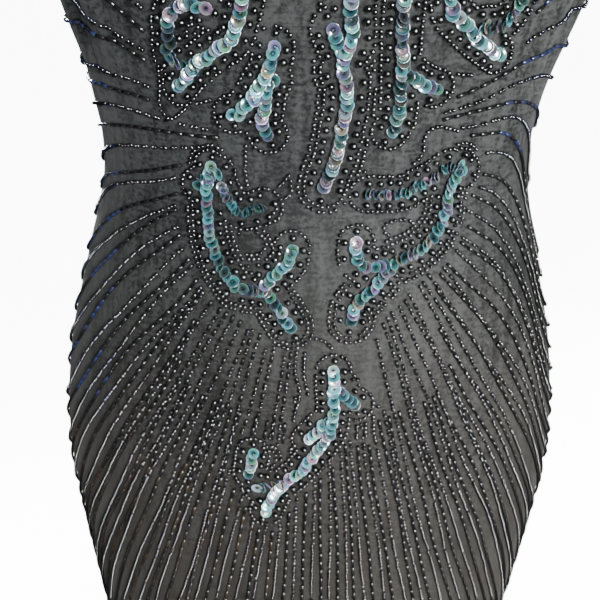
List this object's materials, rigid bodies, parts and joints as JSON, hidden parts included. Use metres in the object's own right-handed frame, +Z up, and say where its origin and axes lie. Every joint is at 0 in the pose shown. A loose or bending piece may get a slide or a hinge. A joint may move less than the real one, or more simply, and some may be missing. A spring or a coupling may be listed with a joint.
{
  "type": "sleeveless beaded evening gown",
  "caption": "Fitted sleeveless floor-length gown, worn form, hollow, with open neck, armholes and hem, closed by a concealed centre-back zip.",
  "frame": {"origin": "midway between the neck ends of the two shoulder seams, where the gown is held up", "axes": "+Z up, the front faces -Y, +X is the wearer's left"},
  "size_m": [0.4217, 0.3093, 1.4307],
  "materials": {
    "cloth": "black silk georgette, matt with a faint sheen, beaded all over",
    "zip_tape": "woven black tape",
    "zip_metal": "black-plated metal, satin",
    "beads": "opaque black glass, polished",
    "sequins": "clear cup sequins with an iridescent coat"
  },
  "bodies": {
    "gown": {"front": "cloth", "back_left": "cloth", "back_right": "cloth", "zip_tape": "zip_tape", "zip_slider": "zip_metal"},
    "pull": {"zip_pull": "zip_metal"}
  },
  "joints": [
    {"name": "pull_swing", "type": "hinge", "parent": "gown", "child": "pull", "pos_m": [0, 0.06744, -0.01075], "axis": [1, 0, 0], "range_deg": [0, 150]}
  ]
}
